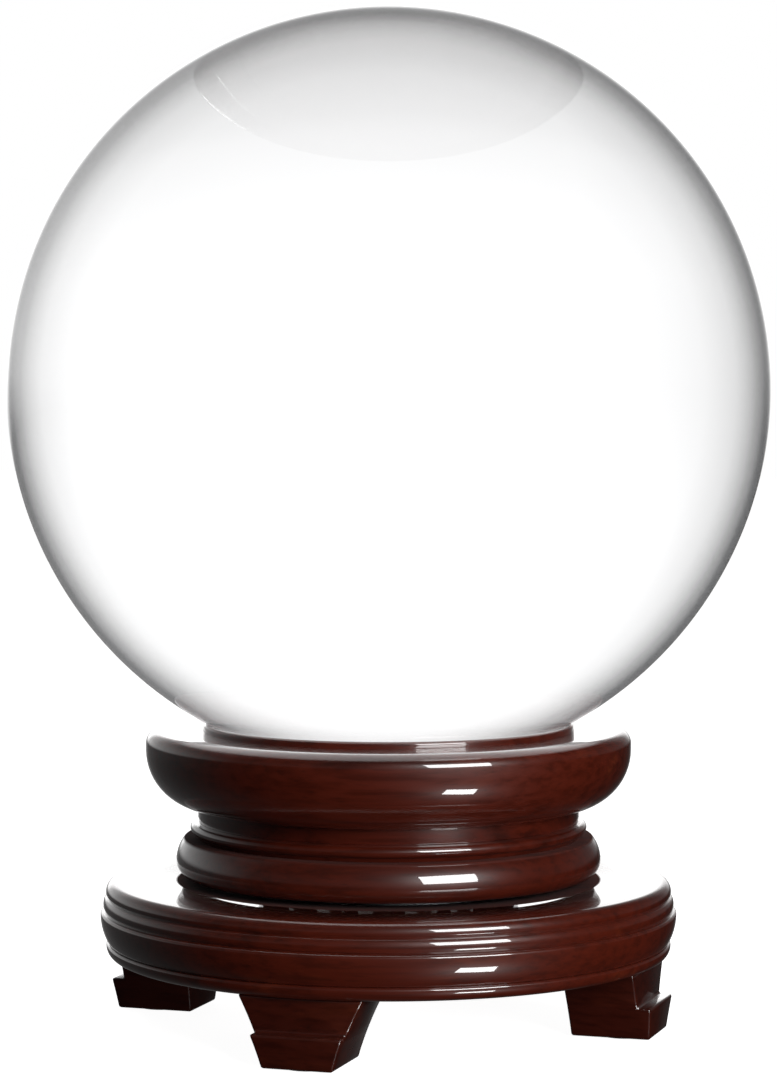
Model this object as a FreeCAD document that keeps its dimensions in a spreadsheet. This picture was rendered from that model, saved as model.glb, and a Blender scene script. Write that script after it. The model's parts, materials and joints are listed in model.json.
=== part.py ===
import FreeCAD, Part
import math
import os
import re
import Sketcher

# Crystal ball on a turned swivel stand, in millimetres.
# +Z is up, the origin is the centre of the footprint on the table, and the front foot points to -Y.

doc = FreeCAD.newDocument("crystal_ball_on_swivel_stand")

DIMENSIONS = {
    # glass ball
    "ball_radius": 100.0,
    "ball_height": 167.2,
    # cradle dish and the raised ring that the ball sits in
    "dish_radius": 64.0,
    "dish_face_height": 77.6,
    "dish_edge_height": 74.2,
    "dish_edge_round": 3.4,
    "dish_belly_height": 72.4,
    "dish_foot_height": 57.4,
    "dish_neck_radius": 50.3,
    "dish_spigot_radius": 46.0,
    "cup_clearance": 1.5,
    "seat_ring_radius": 48.9,
    "seat_ring_rise": 1.7,
    "seat_ring_depth": 3.0,
    "seat_ring_round": 0.8,
    "seat_gap": 0.08,
    # neck ring, the bead between the dish and the drum
    "neck_ring_waist": 50.9,
    "neck_ring_bead": 1.5,
    "neck_ring_top": 53.6,
    "neck_ring_step": 1.1,
    # turntable drum
    "drum_top": 49.2,
    "drum_bottom": 39.3,
    "drum_top_radius": 53.9,
    "drum_belly_radius": 56.1,
    "drum_belly_height": 43.2,
    "drum_foot_radius": 53.6,
    "nut_pocket_radius": 12.0,
    # base disc
    "base_top": 37.8,
    "base_bottom": 18.2,
    "base_top_radius": 72.0,
    "base_shoulder_radius": 74.6,
    "base_shoulder_height": 34.6,
    "band_radius": 75.3,
    "band_top": 33.7,
    "band_bottom": 30.5,
    "crease_depth": 0.5,
    "base_radius": 76.1,
    "base_belly_height": 29.2,
    "base_belly_top": 30.1,
    "base_belly_foot_radius": 74.1,
    "lip_top": 21.8,
    "lip_radius": 74.6,
    "lip_edge_height": 21.0,
    "lip_foot_radius": 72.6,
    # swivel bearing, a pair of pressed plates with balls between
    "bearing_recess_radius": 46.5,
    "bearing_recess_depth": 3.0,
    "plate_radius": 44.0,
    "plate_thickness": 1.2,
    "race_radius": 31.0,
    "race_width": 8.0,
    "race_rise": 1.6,
    "bearing_height": 38.8,
    "bearing_ball_radius": 2.0,
    "race_clearance": 0.1,
    "cage_width": 6.0,
    "cage_thickness": 1.0,
    "cage_pocket_radius": 2.08,
    "bearing_ball_count": 16,
    # pivot bolt, washer and nut
    "bolt_radius": 4.0,
    "bolt_top": 48.8,
    "bolt_head_radius": 6.5,
    "bolt_head_height": 5.0,
    "bolt_recess_radius": 9.0,
    "bolt_recess_depth": 6.0,
    "bolt_clearance": 0.07,
    "washer_radius": 9.0,
    "washer_thickness": 1.0,
    "washer_play": 0.1,
    "nut_across_flats": 13.0,
    "nut_height": 4.5,
    # screws
    "plate_screw_circle": 39.0,
    "plate_screw_count": 4,
    "plate_screw_radius": 1.6,
    "plate_screw_head": 3.2,
    "plate_screw_head_height": 1.6,
    "bottom_screw_length": 10.0,
    "top_screw_length": 6.0,
    "dish_screw_circle": 20.0,
    "dish_screw_count": 3,
    "dish_screw_radius": 1.9,
    "dish_screw_head": 3.6,
    "dish_screw_head_height": 2.4,
    "dish_screw_length": 17.0,
    "access_hole_radius": 3.5,
    # feet, their dowels and rubber pads
    "foot_inner_top": 51.6,
    "foot_inner_bottom": 52.6,
    "foot_shank_radius": 70.9,
    "foot_toe_radius": 74.4,
    "foot_toe_bottom": 73.5,
    "foot_toe_height": 9.0,
    "foot_toe_round": 0.7,
    "foot_bottom": 0.5,
    "foot_top_half_width": 16.4,
    "foot_bottom_half_width": 9.3,
    "foot_side_bend": 80.0,
    "dowel_radius": 3.0,
    "dowel_length": 16.0,
    "dowel_depth": 8.0,
    "dowel_circle": 62.0,
    "dowel_offset": 5.5,
    "dowel_clearance": 0.05,
    "pad_radius": 7.0,
    "pad_circle": 64.4,
}

sheet = doc.addObject("Spreadsheet::Sheet", "Sizes")
for row, (alias, size) in enumerate(DIMENSIONS.items(), start=1):
    sheet.set(f"A{row}", alias)
    sheet.set(f"B{row}", str(size))
    sheet.setAlias(f"B{row}", alias)
doc.recompute()

UP = FreeCAD.Vector(0, 0, 1)
QUARTER_TURN = 90.0


def sized(text):
    """Turns sheet aliases in a formula into references to the sheet."""
    def reference(word):
        return f"Sizes.{word[0]}" if word[0] in DIMENSIONS else word[0]
    return re.sub(r"[a-z_]+", reference, text)


def value(text):
    """The present value of a formula, in millimetres."""
    return float(sheet.evalExpression(sized(text)))


def swell(wide, narrow, rise):
    """Radius of a bend that is upright at its widest point and meets the narrow point."""
    return f"((({wide}) - ({narrow}))^2 + ({rise})^2) / (2 * (({wide}) - ({narrow})))"


def bend_between(start, end, radius):
    """An arc of the given radius; it turns left from start to end, or right if radius is negative."""
    if radius < 0:
        start, end = end, start
    chord = end - start
    middle = (start + end) * 0.5
    left = FreeCAD.Vector(-chord.y, chord.x, 0).normalize()
    centre = middle + left * math.sqrt(radius ** 2 - (chord.Length / 2) ** 2)
    first = math.atan2(start.y - centre.y, start.x - centre.x)
    last = math.atan2(end.y - centre.y, end.x - centre.x)
    if last < first:
        last += 2 * math.pi
    return Part.ArcOfCircle(Part.Circle(centre, UP, abs(radius)), first, last)


def dimension(sketch, kind, edge, point, text):
    """Holds one coordinate of a corner at a formula's value."""
    if text == "0":
        axis = -2 if kind == "DistanceX" else -1
        sketch.addConstraint(Sketcher.Constraint("PointOnObject", edge, point, axis))
        return
    index = sketch.addConstraint(Sketcher.Constraint(kind, -1, 1, edge, point, value(text)))
    sketch.setExpression(f"Constraints[{index}]", sized(text))


def draw_outline(sketch, corners):
    """Closes a dimensioned outline. A corner is (across, up), or (across, up, bend to the next)."""
    first_edge = sketch.GeometryCount
    points = [FreeCAD.Vector(value(corner[0]), value(corner[1]), 0) for corner in corners]
    starts = []
    for index, corner in enumerate(corners):
        start = points[index]
        end = points[(index + 1) % len(points)]
        radius = value(corner[2]) if len(corner) == 3 else 0.0
        if radius:
            sketch.addGeometry(bend_between(start, end, radius), False)
        else:
            sketch.addGeometry(Part.LineSegment(start, end), False)
        starts.append(2 if radius < 0 else 1)
    for index, corner in enumerate(corners):
        edge = first_edge + index
        following = (index + 1) % len(corners)
        sketch.addConstraint(Sketcher.Constraint(
            "Coincident", edge, 3 - starts[index], first_edge + following, starts[following]))
        dimension(sketch, "DistanceX", edge, starts[index], corner[0])
        dimension(sketch, "DistanceY", edge, starts[index], corner[1])
        if len(corner) == 3:
            bend = sketch.addConstraint(Sketcher.Constraint("Radius", edge, abs(value(corner[2]))))
            sketch.setExpression(f"Constraints[{bend}]", sized(f"abs({corner[2]})"))


def draw_circle(sketch, across, up, radius):
    """A dimensioned circle."""
    centre = FreeCAD.Vector(value(across), value(up), 0)
    edge = sketch.addGeometry(Part.Circle(centre, UP, value(radius)), False)
    dimension(sketch, "DistanceX", edge, 3, across)
    dimension(sketch, "DistanceY", edge, 3, up)
    index = sketch.addConstraint(Sketcher.Constraint("Radius", edge, value(radius)))
    sketch.setExpression(f"Constraints[{index}]", sized(radius))


def new_body(label):
    """An empty body, named for its piece."""
    body = doc.addObject("PartDesign::Body", label)
    body.Label = label
    return body


def origin_feature(body, role):
    """One of the body's own origin planes or axes."""
    return next(item for item in body.Origin.OriginFeatures if item.Role == role)


def new_sketch(body, name, plane, height=None):
    """A sketch on an origin plane of the body, lifted to a height if one is given."""
    sketch = body.newObject("Sketcher::SketchObject", f"{body.Label}_{name}")
    sketch.AttachmentSupport = [(origin_feature(body, plane), "")]
    sketch.MapMode = "FlatFace"
    if height is not None:
        sketch.setExpression("AttachmentOffset.Base.z", sized(height))
    return sketch


def turn(body, corners):
    """Turns an outline of (radius, height) corners about Z, as on a lathe."""
    sketch = new_sketch(body, "section", "XZ_Plane")
    draw_outline(sketch, corners)
    turned = body.newObject("PartDesign::Revolution", f"{body.Label}_turning")
    turned.Profile = sketch
    turned.ReferenceAxis = (sketch, ["V_Axis"])
    turned.Angle = 360
    return turned


def drill(body, name, holes, bottom, depth):
    """Drills round holes (across, along, radius) upwards from a height."""
    doc.recompute()
    before = body.Shape.Volume
    sketch = new_sketch(body, name, "XY_Plane", bottom)
    for across, along, radius in holes:
        draw_circle(sketch, across, along, radius)
    cut = body.newObject("PartDesign::Pocket", f"{body.Label}_{name}_cut")
    cut.Profile = sketch
    cut.Reversed = True
    cut.setExpression("Length", sized(depth))
    doc.recompute()
    assert cut.Shape.Volume < before - 0.1, f"{body.Label}: {name} cuts nothing"
    return cut


def repeat_round(body, features, count, angle=360.0):
    """Repeats features about Z; a count may be a formula."""
    pattern = body.newObject("PartDesign::PolarPattern", f"{features[0].Name}_round")
    pattern.Originals = features
    pattern.Axis = (origin_feature(body, "Z_Axis"), [""])
    pattern.Angle = angle
    pattern.Occurrences = int(value(count))
    pattern.setExpression("Occurrences", sized(count))
    body.Tip = pattern
    return pattern


def stack_of_discs(body, discs):
    """Adds coaxial discs of one small part: (name, across, along, radius, bottom, height)."""
    features = []
    for name, across, along, radius, bottom, height in discs:
        sketch = new_sketch(body, name, "XY_Plane", bottom)
        draw_circle(sketch, across, along, radius)
        pad = body.newObject("PartDesign::Pad", f"{body.Label}_{name}_pad")
        pad.Profile = sketch
        pad.setExpression("Length", sized(height))
        features.append(pad)
    return features


# Crystal ball: one solid glass sphere.

ball = doc.addObject("Part::Sphere", "crystal_ball")
ball.Label = "crystal_ball"
ball.setExpression("Radius", sized("ball_radius"))
ball.setExpression("Placement.Base.z", sized("ball_height"))


# Cradle dish: a turned dish with a shallow cup and a rebate for the seat ring.

REBATE_FLOOR = "(dish_face_height - seat_ring_depth)"
CUP_BEND = "(ball_radius + cup_clearance)"
CUP_RIM = f"sqrt({CUP_BEND}^2 - (ball_height - {REBATE_FLOOR})^2)"

dish = new_body("cradle_dish")
turn(dish, [
    ("0", "drum_top"),
    ("dish_spigot_radius", "drum_top"),
    ("dish_spigot_radius", "neck_ring_top"),
    ("dish_neck_radius", "neck_ring_top"),
    ("dish_neck_radius", "dish_foot_height",
     swell("dish_radius", "dish_neck_radius", "dish_belly_height - dish_foot_height")),
    ("dish_radius", "dish_belly_height"),
    ("dish_radius", "dish_edge_height", "dish_edge_round"),
    ("dish_radius - dish_edge_round", "dish_face_height"),
    ("seat_ring_radius", "dish_face_height"),
    ("seat_ring_radius", REBATE_FLOOR),
    (CUP_RIM, REBATE_FLOOR, f"-{CUP_BEND}"),
    ("0", f"ball_height - {CUP_BEND}"),
])
DISH_SCREW = ("dish_screw_circle", "0")
RECESS_TOP = "(2 * bearing_height - base_top + bearing_recess_depth)"
DISH_SCREW_TOP = f"({RECESS_TOP} + dish_screw_head_height + dish_screw_length)"
screw_hole = drill(dish, "screw_hole", [(*DISH_SCREW, "dish_screw_radius")],
                   "drum_top", f"{DISH_SCREW_TOP} - drum_top")
repeat_round(dish, [screw_hole], "dish_screw_count")


# Seat ring: a thin raised ring with a bevel that the ball rests on.

RING_TOP = "(dish_face_height + seat_ring_rise)"
SEAT_RADIUS = "(ball_radius + seat_gap)"


def seat_at(height):
    """Radius of the seat's bevel at a height, just clear of the ball."""
    return f"sqrt({SEAT_RADIUS}^2 - (ball_height - ({height}))^2)"


BEVEL_BOTTOM = "(dish_face_height + 0.3)"
ring = new_body("seat_ring")
turn(ring, [
    (f"{CUP_RIM} + 1", REBATE_FLOOR),
    ("seat_ring_radius", REBATE_FLOOR),
    ("seat_ring_radius", f"{RING_TOP} - seat_ring_round", "seat_ring_round"),
    ("seat_ring_radius - seat_ring_round", RING_TOP),
    (seat_at(RING_TOP), RING_TOP, f"-{SEAT_RADIUS}"),
    (seat_at(BEVEL_BOTTOM), BEVEL_BOTTOM),
])


# Neck ring: the bead around the dish's spigot.

BEAD_TOP = "(drum_top + neck_ring_step + 2 * neck_ring_bead)"
neck = new_body("neck_ring")
turn(neck, [
    ("dish_spigot_radius + 0.05", "drum_top"),
    ("neck_ring_waist - 0.5", "drum_top"),
    ("neck_ring_waist", "drum_top + neck_ring_step", "neck_ring_bead * 1.001"),
    ("neck_ring_waist", BEAD_TOP),
    ("dish_neck_radius", "neck_ring_top"),
    ("dish_spigot_radius + 0.05", "neck_ring_top"),
])


# Turntable drum: turned, with a recess below for the bearing and a pocket for the pivot nut.

drum = new_body("turntable_drum")
turn(drum, [
    ("bearing_recess_radius", "drum_bottom"),
    ("drum_foot_radius", "drum_bottom",
     swell("drum_belly_radius", "drum_foot_radius", "drum_belly_height - drum_bottom")),
    ("drum_belly_radius", "drum_belly_height",
     swell("drum_belly_radius", "drum_top_radius", "drum_top - drum_belly_height")),
    ("drum_top_radius", "drum_top"),
    ("nut_pocket_radius", "drum_top"),
    ("nut_pocket_radius", RECESS_TOP),
    ("bearing_recess_radius", RECESS_TOP),
])
head_hole = drill(drum, "screw_head_hole", [(*DISH_SCREW, "dish_screw_head")],
                  RECESS_TOP, "dish_screw_head_height")
shank_hole = drill(drum, "screw_hole", [(*DISH_SCREW, "dish_screw_radius")],
                   RECESS_TOP, f"drum_top - {RECESS_TOP}")
repeat_round(drum, [head_hole, shank_hole], "dish_screw_count")
PLATE_SCREW = ("plate_screw_circle", "0")
pilot_hole = drill(drum, "pilot_hole", [(*PLATE_SCREW, "plate_screw_radius")],
                   RECESS_TOP, "top_screw_length - plate_thickness")
repeat_round(drum, [pilot_hole], "plate_screw_count")


# Base disc: turned, with a bearing recess above and a recess for the bolt head below.

RECESS_FLOOR = "(base_top - bearing_recess_depth)"
BOLT_HOLE = "bolt_radius + 0.1"
base = new_body("base_disc")
turn(base, [
    ("bolt_recess_radius", "base_bottom"),
    ("lip_foot_radius", "base_bottom",
     swell("lip_radius", "lip_foot_radius", "lip_edge_height - base_bottom")),
    ("lip_radius", "lip_edge_height", "lip_top - lip_edge_height"),
    ("lip_radius - (lip_top - lip_edge_height)", "lip_top"),
    ("base_belly_foot_radius - crease_depth", "lip_top"),
    ("base_belly_foot_radius", "lip_top + crease_depth / 2",
     swell("base_radius", "base_belly_foot_radius", "base_belly_height - lip_top - crease_depth / 2")),
    ("base_radius", "base_belly_height",
     swell("base_radius", "band_radius", "base_belly_top - base_belly_height")),
    ("band_radius", "base_belly_top"),
    ("band_radius - crease_depth", "(base_belly_top + band_bottom) / 2"),
    ("band_radius - crease_depth / 2", "band_bottom", "band_top - band_bottom"),
    ("band_radius - crease_depth", "band_top"),
    ("base_shoulder_radius - crease_depth", "band_top + crease_depth / 2"),
    ("base_shoulder_radius", "base_shoulder_height",
     swell("base_top", "base_shoulder_height", "base_shoulder_radius - base_top_radius")),
    ("base_top_radius", "base_top"),
    ("bearing_recess_radius", "base_top"),
    ("bearing_recess_radius", RECESS_FLOOR),
    (BOLT_HOLE, RECESS_FLOOR),
    (BOLT_HOLE, "base_bottom + bolt_recess_depth"),
    ("bolt_recess_radius", "base_bottom + bolt_recess_depth"),
])
pilot_hole = drill(base, "pilot_hole", [(*PLATE_SCREW, "plate_screw_radius")],
                   f"{RECESS_FLOOR} - bottom_screw_length", "bottom_screw_length")
repeat_round(base, [pilot_hole], "plate_screw_count")
ACCESS_HOLE = ("plate_screw_circle * cos(45)", "plate_screw_circle * sin(45)", "access_hole_radius")
drill(base, "access_hole", [ACCESS_HOLE], "base_bottom", f"{RECESS_FLOOR} - base_bottom")
DOWELS = [("dowel_circle", side + "dowel_offset") for side in ("", "-")]
DOWEL_HOLE = "dowel_radius + dowel_clearance"
dowel_holes = drill(base, "dowel_holes", [(*place, DOWEL_HOLE) for place in DOWELS],
                    "base_bottom", "dowel_length - dowel_depth")
repeat_round(base, [dowel_holes], "4")


# Feet: tapered blocks with a stepped toe, dowelled to the underside of the base disc.


def make_foot(label, angle):
    """One foot, made pointing to +X and turned to its place about Z."""
    foot = new_body(label)
    section = new_sketch(foot, "section", "XZ_Plane")
    draw_outline(section, [
        ("foot_inner_bottom", "foot_bottom"),
        ("foot_toe_bottom", "foot_bottom"),
        ("foot_toe_radius", "foot_toe_height - foot_toe_round", "foot_toe_round * 1.1"),
        ("foot_toe_radius - foot_toe_round", "foot_toe_height"),
        ("foot_shank_radius", "foot_toe_height"),
        ("foot_shank_radius", "base_bottom"),
        ("foot_inner_top", "base_bottom"),
    ])
    block = foot.newObject("PartDesign::Pad", f"{label}_block")
    block.Profile = section
    block.Midplane = True
    block.setExpression("Length", sized("2 * foot_top_half_width"))
    doc.recompute()
    before = foot.Shape.Volume
    sides = new_sketch(foot, "sides", "YZ_Plane")
    for side, turn_sign in (("", ""), ("-", "-")):
        corners = [
            (f"{side}foot_bottom_half_width", "foot_bottom", f"{turn_sign}foot_side_bend"),
            (f"{side}foot_top_half_width", "base_bottom"),
            (f"{side}(foot_top_half_width + 2)", "base_bottom"),
            (f"{side}(foot_top_half_width + 2)", "foot_bottom - 1"),
            (f"{side}foot_bottom_half_width", "foot_bottom - 1"),
        ]
        draw_outline(sides, corners)
    trim = foot.newObject("PartDesign::Pocket", f"{label}_taper")
    trim.Profile = sides
    trim.Type = "ThroughAll"
    trim.Reversed = True
    doc.recompute()
    assert foot.Shape.Volume < before - 1.0, f"{label}: the taper cuts nothing"
    drill(foot, "dowel_holes", [(*place, DOWEL_HOLE) for place in DOWELS],
          "base_bottom - dowel_depth", "dowel_depth")
    foot.Placement = FreeCAD.Placement(FreeCAD.Vector(), FreeCAD.Rotation(UP, angle))
    return foot


def make_pad(label, angle):
    """One rubber pad under a foot."""
    pad = doc.addObject("Part::Cylinder", label)
    pad.Label = label
    pad.setExpression("Radius", sized("pad_radius"))
    pad.setExpression("Height", sized("foot_bottom"))
    place = FreeCAD.Rotation(UP, angle).multVec(FreeCAD.Vector(value("pad_circle"), 0, 0))
    pad.Placement = FreeCAD.Placement(place, FreeCAD.Rotation(UP, angle))
    return pad


FOOT_SIDES = ("right", "back", "left", "front")
feet = [make_foot(f"foot_{side}", QUARTER_TURN * turn_number)
        for turn_number, side in enumerate(FOOT_SIDES)]
pads = [make_pad(f"foot_pad_{side}", QUARTER_TURN * turn_number)
        for turn_number, side in enumerate(FOOT_SIDES)]

dowels = new_body("foot_dowels")
dowels.AllowCompound = True
dowel_pads = stack_of_discs(dowels, [
    (f"peg_{number}", *place, "dowel_radius", "base_bottom - dowel_depth", "dowel_length")
    for number, place in enumerate(DOWELS)])
repeat_round(dowels, dowel_pads, "4")


# Swivel bearing: two pressed plates with a race each, balls between them, and a ball cage.

RACE_BEND = "(bearing_ball_radius + race_clearance)"


def make_plate(label, sign):
    """One bearing plate: sign is - below the balls and + above them."""
    plate = new_body(label)
    hub_radius = "bolt_radius + bolt_clearance"
    back = f"(bearing_height {sign} (bearing_height - {RECESS_FLOOR}))"
    face = f"({back} {'+' if sign == '-' else '-'} plate_thickness)"
    land = f"({face} {'+' if sign == '-' else '-'} race_rise)"
    reach = f"sqrt({RACE_BEND}^2 - (bearing_height - {land})^2)"
    inner, outer = "(race_radius - race_width / 2)", "(race_radius + race_width / 2)"
    corners = [
        (hub_radius, back),
        ("plate_radius", back),
        ("plate_radius", face),
        (outer, face),
        (outer, land),
        (f"race_radius + {reach}", land, f"{'-' if sign == '-' else ''}{RACE_BEND}"),
        (f"race_radius - {reach}", land),
        (inner, land),
        (inner, face),
        (hub_radius, face),
    ]
    turn(plate, corners)
    screw_hole = drill(plate, "screw_hole", [(*PLATE_SCREW, "plate_screw_radius")],
                       f"min({back}, {face})", "plate_thickness")
    repeat_round(plate, [screw_hole], "plate_screw_count")
    return plate


bottom_plate = make_plate("bearing_bottom_plate", "-")
drill(bottom_plate, "access_hole", [ACCESS_HOLE], RECESS_FLOOR, "plate_thickness")
top_plate = make_plate("bearing_top_plate", "+")

cage = new_body("bearing_cage")
CAGE_BOTTOM = "(bearing_height - cage_thickness / 2)"
turn(cage, [
    ("race_radius - cage_width / 2", CAGE_BOTTOM),
    ("race_radius + cage_width / 2", CAGE_BOTTOM),
    ("race_radius + cage_width / 2", f"{CAGE_BOTTOM} + cage_thickness"),
    ("race_radius - cage_width / 2", f"{CAGE_BOTTOM} + cage_thickness"),
])
pocket = drill(cage, "pocket", [("race_radius", "0", "cage_pocket_radius")],
               CAGE_BOTTOM, "cage_thickness")
repeat_round(cage, [pocket], "bearing_ball_count")

balls = new_body("bearing_balls")
balls.AllowCompound = True
steel_ball = balls.newObject("PartDesign::AdditiveSphere", "bearing_balls_ball")
steel_ball.AttachmentSupport = [(origin_feature(balls, "XY_Plane"), "")]
steel_ball.MapMode = "FlatFace"
steel_ball.setExpression("Radius", sized("bearing_ball_radius"))
steel_ball.setExpression("AttachmentOffset.Base.x", sized("race_radius"))
steel_ball.setExpression("AttachmentOffset.Base.z", sized("bearing_height"))
repeat_round(balls, [steel_ball], "bearing_ball_count")


# Pivot: a bolt up through the base, with a washer and nut above the top plate.

WASHER_BOTTOM = f"({RECESS_TOP} + washer_play)"
NUT_BOTTOM = f"({WASHER_BOTTOM} + washer_thickness)"
HEAD_BOTTOM = "(base_bottom + bolt_recess_depth - bolt_head_height)"

bolt = new_body("pivot_bolt")
turn(bolt, [
    ("0", HEAD_BOTTOM),
    ("bolt_head_radius", HEAD_BOTTOM),
    ("bolt_head_radius", "base_bottom + bolt_recess_depth"),
    ("bolt_radius", "base_bottom + bolt_recess_depth"),
    ("bolt_radius", "bolt_top"),
    ("0", "bolt_top"),
])

washer = new_body("pivot_washer")
turn(washer, [
    ("bolt_radius + bolt_clearance", WASHER_BOTTOM),
    ("washer_radius", WASHER_BOTTOM),
    ("washer_radius", NUT_BOTTOM),
    ("bolt_radius + bolt_clearance", NUT_BOTTOM),
])

nut_blank = doc.addObject("Part::Prism", "pivot_nut_blank")
nut_blank.Polygon = 6
nut_blank.setExpression("Circumradius", sized("nut_across_flats / 2 / cos(30)"))
nut_blank.setExpression("Height", sized("nut_height"))
nut_thread = doc.addObject("Part::Cylinder", "pivot_nut_thread")
nut_thread.setExpression("Radius", sized("bolt_radius + bolt_clearance"))
nut_thread.setExpression("Height", sized("nut_height"))
nut = doc.addObject("Part::Cut", "pivot_nut")
nut.Label = "pivot_nut"
nut.Base = nut_blank
nut.Tool = nut_thread
nut.Placement.Base.z = value(NUT_BOTTOM)


# Screws: groups of identical screws, each a head and a shank.


def make_screws(label, place, head, shank, count):
    """A ring of screws; head and shank are (radius, bottom, height)."""
    screws = new_body(label)
    screws.AllowCompound = True
    features = stack_of_discs(screws, [("head", *place, *head), ("shank", *place, *shank)])
    repeat_round(screws, features, count)
    return screws


BOTTOM_FACE = f"({RECESS_FLOOR} + plate_thickness)"
TOP_FACE = f"({RECESS_TOP} - plate_thickness)"
bottom_screws = make_screws(
    "bottom_plate_screws", PLATE_SCREW,
    ("plate_screw_head", BOTTOM_FACE, "plate_screw_head_height"),
    ("plate_screw_radius", f"{BOTTOM_FACE} - bottom_screw_length", "bottom_screw_length"),
    "plate_screw_count")
top_screws = make_screws(
    "top_plate_screws", PLATE_SCREW,
    ("plate_screw_head", f"{TOP_FACE} - plate_screw_head_height", "plate_screw_head_height"),
    ("plate_screw_radius", TOP_FACE, "top_screw_length"),
    "plate_screw_count")
dish_screws = make_screws(
    "dish_screws", DISH_SCREW,
    ("dish_screw_head", RECESS_TOP, "dish_screw_head_height"),
    ("dish_screw_radius", f"{RECESS_TOP} + dish_screw_head_height", "dish_screw_length"),
    "dish_screw_count")


# Checks, then one STEP file for each sub-part.

SUB_PARTS = [
    ball, dish, ring, neck, drum, dish_screws,
    top_plate, top_screws, cage, balls, bottom_plate, bottom_screws,
    bolt, washer, nut, base, dowels, *feet, *pads,
]

doc.recompute()
for item in doc.Objects:
    assert "Invalid" not in item.State and "Error" not in item.State, f"{item.Name}: {item.State}"
for piece in SUB_PARTS:
    assert not piece.Shape.isNull() and piece.Shape.isValid(), f"{piece.Label}: bad shape"

os.makedirs("parts", exist_ok=True)
for piece in SUB_PARTS:
    piece.Shape.exportStep(f"parts/{piece.Label}.step")
    print(piece.Label, len(piece.Shape.Solids), round(piece.Shape.Volume / 1000, 2), "cm3")
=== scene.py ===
import json
import math

import bmesh
import bpy
from bpy.props import FloatProperty, FloatVectorProperty, IntProperty, PointerProperty
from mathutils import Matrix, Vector

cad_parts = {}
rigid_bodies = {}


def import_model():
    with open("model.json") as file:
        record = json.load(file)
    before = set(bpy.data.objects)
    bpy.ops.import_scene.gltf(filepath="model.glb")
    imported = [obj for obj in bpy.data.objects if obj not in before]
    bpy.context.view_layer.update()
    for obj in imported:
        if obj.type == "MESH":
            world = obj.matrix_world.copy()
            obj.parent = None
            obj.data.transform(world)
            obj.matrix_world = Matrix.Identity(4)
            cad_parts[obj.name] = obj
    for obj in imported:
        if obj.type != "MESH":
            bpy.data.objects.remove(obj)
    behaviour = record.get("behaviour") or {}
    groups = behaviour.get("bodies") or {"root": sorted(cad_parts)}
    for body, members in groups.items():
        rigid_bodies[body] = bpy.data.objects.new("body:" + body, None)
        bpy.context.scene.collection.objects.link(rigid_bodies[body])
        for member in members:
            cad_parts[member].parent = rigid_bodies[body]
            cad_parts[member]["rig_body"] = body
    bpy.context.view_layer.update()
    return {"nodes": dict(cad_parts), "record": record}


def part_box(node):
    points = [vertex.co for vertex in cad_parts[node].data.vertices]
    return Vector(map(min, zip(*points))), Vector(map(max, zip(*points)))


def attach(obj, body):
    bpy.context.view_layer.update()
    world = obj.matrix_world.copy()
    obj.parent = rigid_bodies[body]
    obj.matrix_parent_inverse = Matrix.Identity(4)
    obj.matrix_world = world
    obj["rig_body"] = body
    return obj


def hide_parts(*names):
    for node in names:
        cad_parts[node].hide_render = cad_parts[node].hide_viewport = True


bl_info = {
    "name": "Crystal Ball on Swivel Stand",
    "version": (1, 0, 0),
    "blender": (4, 5, 0),
    "location": "View3D > Sidebar > Crystal Ball",
    "description": "Models and finishes a glass ball and its turned, lacquered stand",
    "category": "Add Mesh",
}

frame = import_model()

MM = 0.001
AXIS = Vector((0.0, 0.0, 1.0))
FOOT_SIDES = ("right", "back", "left", "front")
QUARTER_TURN = math.pi / 2


def radius_of(node):
    """Outer radius of a turned node."""
    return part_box(node)[1].x


def bottom_of(node):
    """Lowest height of a node."""
    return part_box(node)[0].z


def top_of(node):
    """Highest height of a node."""
    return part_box(node)[1].z


def length(name, description, default):
    """A property that holds a length in metres."""
    return FloatProperty(name=name, description=description, default=default, unit="LENGTH",
                         precision=5)


def colour(name, description, default):
    """A property that holds a linear colour."""
    return FloatVectorProperty(name=name, description=description, default=default,
                               subtype="COLOR", min=0.0, max=1.0)


def share(name, description, default):
    """A property that holds a number from 0 to 1."""
    return FloatProperty(name=name, description=description, default=default, min=0.0, max=1.0,
                         subtype="FACTOR")


# ---------------------------------------------------------------- settings


class CrystalBallSettings(bpy.types.PropertyGroup):
    """The glass ball."""

    radius: length("Radius", "Radius of the ball", top_of("crystal_ball") / 2
                   - bottom_of("crystal_ball") / 2)
    faces_across: IntProperty(name="Faces across", description="Faces along each side of the net",
                              default=96, min=8, max=128)
    refraction: FloatProperty(name="Refraction", description="Index of refraction of the glass",
                              default=1.52, min=1.3, max=2.0)
    tint: colour("Tint", "Colour of the clear middle", (0.995, 0.996, 1.0))
    # Painted shade: the colour the glass is darkened to where it is seen edge on, making its dark
    # rim.
    painted_rim_shade: colour("Edge tint", "Colour where the glass is seen edge on", (0.085, 0.085, 0.088))


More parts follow.
